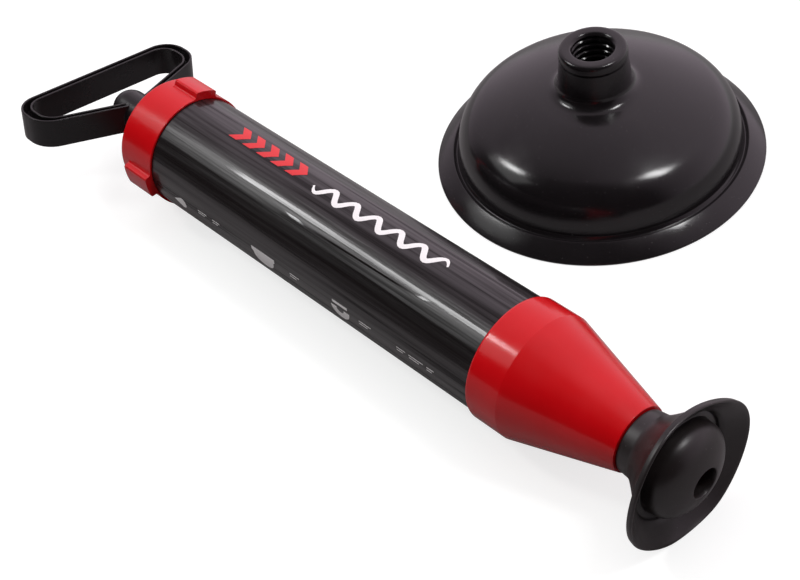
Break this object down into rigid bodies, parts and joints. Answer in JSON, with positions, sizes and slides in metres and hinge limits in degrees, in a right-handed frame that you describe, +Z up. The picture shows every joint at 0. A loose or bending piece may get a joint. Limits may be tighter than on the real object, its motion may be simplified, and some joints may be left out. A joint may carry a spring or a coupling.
{
  "type": "hand-pump drain plunger",
  "caption": "Hand-pump plunger for blocked drains and toilets: a barrel with a piston worked by a loop handle, a small rubber cup on its nozzle and a large spare cup.",
  "frame": {"origin": "centre of the kit's footprint, on the floor it lies on", "axes": "+X along the pump from handle to nozzle, +Y from the pump towards the large cup, +Z up"},
  "size_m": [0.3744, 0.2583, 0.0628],
  "materials": {
    "tube_plastic": "extruded, smooth",
    "sleeve_film": "glossy printed film",
    "red_plastic": "moulded, glossy",
    "handle_plastic": "moulded, satin",
    "rod_plastic": "moulded, smooth",
    "bush_nylon": "natural nylon",
    "piston_plastic": "moulded",
    "plated_steel": "zinc plated",
    "seal_rubber": "matte",
    "small_cup_rubber": "moulded, satin",
    "large_cup_rubber": "moulded, semi-gloss"
  },
  "bodies": {
    "barrel": {"barrel_tube": "tube_plastic", "printed_sleeve": "sleeve_film", "end_cap": "red_plastic", "cap_gasket": "seal_rubber", "rod_bush": "bush_nylon", "nozzle_cone": "red_plastic", "nozzle_gasket": "seal_rubber"},
    "seals": {"piston_cup_seal": "seal_rubber", "piston_o_ring": "seal_rubber"},
    "plunger_rod": {"handle": "handle_plastic", "handle_screw": "plated_steel", "handle_plug": "rod_plastic", "pump_rod": "rod_plastic", "piston_stud": "plated_steel", "stop_bumper": "seal_rubber", "rear_plate": "piston_plastic", "front_plate": "piston_plastic", "piston_washer": "plated_steel", "piston_nut": "plated_steel"},
    "small_cup": {"small_cup": "small_cup_rubber"},
    "large_cup": {"large_cup": "large_cup_rubber"}
  },
  "joints": [
    {"name": "pump_stroke", "type": "slide", "parent": "barrel", "child": "seals", "axis": [-1, 0, 0], "range_m": [0, 0.1915]},
    {"name": "handle_turn", "type": "hinge", "parent": "seals", "child": "plunger_rod", "pos_m": [-0.1358, -0.0828, 0.0314], "axis": [1, 0, 0], "continuous": true},
    {"name": "small_cup_off", "type": "slide", "parent": "barrel", "child": "small_cup", "axis": [1, 0, 0], "range_m": [0, 0.06]},
    {"name": "large_cup_lift", "type": "slide", "parent": "barrel", "child": "large_cup", "axis": [0, 0, 1], "range_m": [0, 0.1]}
  ]
}
